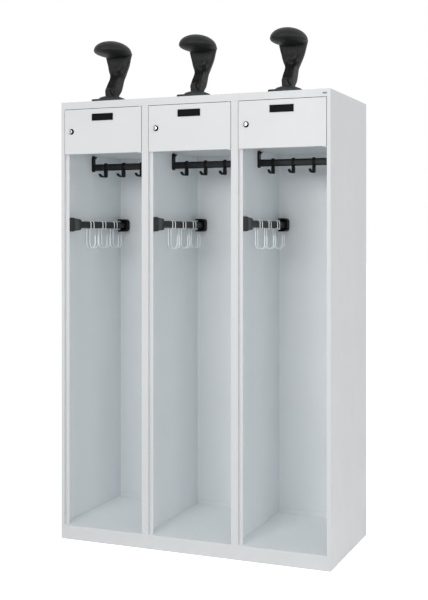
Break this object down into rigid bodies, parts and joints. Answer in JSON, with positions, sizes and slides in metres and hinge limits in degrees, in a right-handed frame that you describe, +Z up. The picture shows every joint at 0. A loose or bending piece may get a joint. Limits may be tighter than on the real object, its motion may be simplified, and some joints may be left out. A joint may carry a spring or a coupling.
{
  "type": "locker",
  "caption": "Open-front gear locker of folded steel with garment bays, lockable boxes above, sliding hooks, wire hangers and helmet holders on top.",
  "frame": {"origin": "middle of the bounding box at floor level", "axes": "+X to the locker's right seen from the front, +Y to the back panel, +Z up; the doors face -Y"},
  "size_m": [1.2, 0.51, 2.112],
  "materials": {
    "carcass_coat": "light grey powder coat, semi-gloss",
    "door_coat": "light grey powder coat, semi-gloss",
    "black_plastic": "black moulded plastic, satin",
    "tube_coat": "black coated steel tube, satin",
    "lock_chrome": "chromed",
    "hanger_wire": "bright zinc-plated wire"
  },
  "bodies": {
    "carcass": {"left_side": "carcass_coat", "right_side": "carcass_coat", "partition_1": "carcass_coat", "partition_2": "carcass_coat", "back_panel": "carcass_coat", "top_panel": "carcass_coat", "floor_panel": "carcass_coat", "shelf_1": "carcass_coat", "coat_rail_1": "tube_coat", "hanger_rail_1": "tube_coat", "front_bracket_1": "black_plastic", "helmet_stand_1": "black_plastic", "helmet_head_1": "black_plastic", "shelf_2": "carcass_coat", "coat_rail_2": "tube_coat", "hanger_rail_2": "tube_coat", "front_bracket_2": "black_plastic", "helmet_stand_2": "black_plastic", "helmet_head_2": "black_plastic", "shelf_3": "carcass_coat", "coat_rail_3": "tube_coat", "hanger_rail_3": "tube_coat", "front_bracket_3": "black_plastic", "helmet_stand_3": "black_plastic", "helmet_head_3": "black_plastic"},
    "door_1": {"door_1": "door_coat", "card_holder_1": "black_plastic", "lock_housing_1": "black_plastic"},
    "lock_plug_1": {"lock_plug_1": "lock_chrome"},
    "coat_hook_1_1": {"coat_hook_1_1": "black_plastic"},
    "coat_hook_1_2": {"coat_hook_1_2": "black_plastic"},
    "coat_hook_1_3": {"coat_hook_1_3": "black_plastic"},
    "coat_hook_1_4": {"coat_hook_1_4": "black_plastic"},
    "wire_hanger_1_1": {"wire_hanger_1_1": "hanger_wire"},
    "wire_hanger_1_2": {"wire_hanger_1_2": "hanger_wire"},
    "wire_hanger_1_3": {"wire_hanger_1_3": "hanger_wire"},
    "door_2": {"door_2": "door_coat", "card_holder_2": "black_plastic", "lock_housing_2": "black_plastic"},
    "lock_plug_2": {"lock_plug_2": "lock_chrome"},
    "coat_hook_2_1": {"coat_hook_2_1": "black_plastic"},
    "coat_hook_2_2": {"coat_hook_2_2": "black_plastic"},
    "coat_hook_2_3": {"coat_hook_2_3": "black_plastic"},
    "coat_hook_2_4": {"coat_hook_2_4": "black_plastic"},
    "wire_hanger_2_1": {"wire_hanger_2_1": "hanger_wire"},
    "wire_hanger_2_2": {"wire_hanger_2_2": "hanger_wire"},
    "wire_hanger_2_3": {"wire_hanger_2_3": "hanger_wire"},
    "door_3": {"door_3": "door_coat", "card_holder_3": "black_plastic", "lock_housing_3": "black_plastic"},
    "lock_plug_3": {"lock_plug_3": "lock_chrome"},
    "coat_hook_3_1": {"coat_hook_3_1": "black_plastic"},
    "coat_hook_3_2": {"coat_hook_3_2": "black_plastic"},
    "coat_hook_3_3": {"coat_hook_3_3": "black_plastic"},
    "coat_hook_3_4": {"coat_hook_3_4": "black_plastic"},
    "wire_hanger_3_1": {"wire_hanger_3_1": "hanger_wire"},
    "wire_hanger_3_2": {"wire_hanger_3_2": "hanger_wire"},
    "wire_hanger_3_3": {"wire_hanger_3_3": "hanger_wire"}
  },
  "joints": [
    {"name": "door_1_hinge", "type": "hinge", "parent": "carcass", "child": "door_1", "pos_m": [-0.225, -0.24, 1.724], "axis": [0, 0, 1], "range_deg": [0, 110]},
    {"name": "lock_1_turn", "type": "hinge", "parent": "door_1", "child": "lock_plug_1", "pos_m": [-0.55, -0.2445, 1.725], "axis": [0, 1, 0], "range_deg": [0, 90]},
    {"name": "coat_hook_1_1_slide", "type": "slide", "parent": "carcass", "child": "coat_hook_1_1", "axis": [1, 0, 0], "range_m": [-0.035, 0.035]},
    {"name": "coat_hook_1_2_slide", "type": "slide", "parent": "carcass", "child": "coat_hook_1_2", "axis": [1, 0, 0], "range_m": [-0.035, 0.035]},
    {"name": "coat_hook_1_3_slide", "type": "slide", "parent": "carcass", "child": "coat_hook_1_3", "axis": [1, 0, 0], "range_m": [-0.035, 0.035]},
    {"name": "coat_hook_1_4_slide", "type": "slide", "parent": "carcass", "child": "coat_hook_1_4", "axis": [1, 0, 0], "range_m": [-0.035, 0.035]},
    {"name": "wire_hanger_1_1_slide", "type": "slide", "parent": "carcass", "child": "wire_hanger_1_1", "axis": [0, 1, 0], "range_m": [-0.03, 0.03]},
    {"name": "wire_hanger_1_2_slide", "type": "slide", "parent": "carcass", "child": "wire_hanger_1_2", "axis": [0, 1, 0], "range_m": [-0.03, 0.03]},
    {"name": "wire_hanger_1_3_slide", "type": "slide", "parent": "carcass", "child": "wire_hanger_1_3", "axis": [0, 1, 0], "range_m": [-0.03, 0.03]},
    {"name": "door_2_hinge", "type": "hinge", "parent": "carcass", "child": "door_2", "pos_m": [0.175, -0.24, 1.724], "axis": [0, 0, 1], "range_deg": [0, 110]},
    {"name": "lock_2_turn", "type": "hinge", "parent": "door_2", "child": "lock_plug_2", "pos_m": [-0.15, -0.2445, 1.725], "axis": [0, 1, 0], "range_deg": [0, 90]},
    {"name": "coat_hook_2_1_slide", "type": "slide", "parent": "carcass", "child": "coat_hook_2_1", "axis": [1, 0, 0], "range_m": [-0.035, 0.035]},
    {"name": "coat_hook_2_2_slide", "type": "slide", "parent": "carcass", "child": "coat_hook_2_2", "axis": [1, 0, 0], "range_m": [-0.035, 0.035]},
    {"name": "coat_hook_2_3_slide", "type": "slide", "parent": "carcass", "child": "coat_hook_2_3", "axis": [1, 0, 0], "range_m": [-0.035, 0.035]},
    {"name": "coat_hook_2_4_slide", "type": "slide", "parent": "carcass", "child": "coat_hook_2_4", "axis": [1, 0, 0], "range_m": [-0.035, 0.035]},
    {"name": "wire_hanger_2_1_slide", "type": "slide", "parent": "carcass", "child": "wire_hanger_2_1", "axis": [0, 1, 0], "range_m": [-0.03, 0.03]},
    {"name": "wire_hanger_2_2_slide", "type": "slide", "parent": "carcass", "child": "wire_hanger_2_2", "axis": [0, 1, 0], "range_m": [-0.03, 0.03]},
    {"name": "wire_hanger_2_3_slide", "type": "slide", "parent": "carcass", "child": "wire_hanger_2_3", "axis": [0, 1, 0], "range_m": [-0.03, 0.03]},
    {"name": "door_3_hinge", "type": "hinge", "parent": "carcass", "child": "door_3", "pos_m": [0.575, -0.24, 1.724], "axis": [0, 0, 1], "range_deg": [0, 110]},
    {"name": "lock_3_turn", "type": "hinge", "parent": "door_3", "child": "lock_plug_3", "pos_m": [0.25, -0.2445, 1.725], "axis": [0, 1, 0], "range_deg": [0, 90]},
    {"name": "coat_hook_3_1_slide", "type": "slide", "parent": "carcass", "child": "coat_hook_3_1", "axis": [1, 0, 0], "range_m": [-0.035, 0.035]},
    {"name": "coat_hook_3_2_slide", "type": "slide", "parent": "carcass", "child": "coat_hook_3_2", "axis": [1, 0, 0], "range_m": [-0.035, 0.035]},
    {"name": "coat_hook_3_3_slide", "type": "slide", "parent": "carcass", "child": "coat_hook_3_3", "axis": [1, 0, 0], "range_m": [-0.035, 0.035]},
    {"name": "coat_hook_3_4_slide", "type": "slide", "parent": "carcass", "child": "coat_hook_3_4", "axis": [1, 0, 0], "range_m": [-0.035, 0.035]},
    {"name": "wire_hanger_3_1_slide", "type": "slide", "parent": "carcass", "child": "wire_hanger_3_1", "axis": [0, 1, 0], "range_m": [-0.03, 0.03]},
    {"name": "wire_hanger_3_2_slide", "type": "slide", "parent": "carcass", "child": "wire_hanger_3_2", "axis": [0, 1, 0], "range_m": [-0.03, 0.03]},
    {"name": "wire_hanger_3_3_slide", "type": "slide", "parent": "carcass", "child": "wire_hanger_3_3", "axis": [0, 1, 0], "range_m": [-0.03, 0.03]}
  ]
}
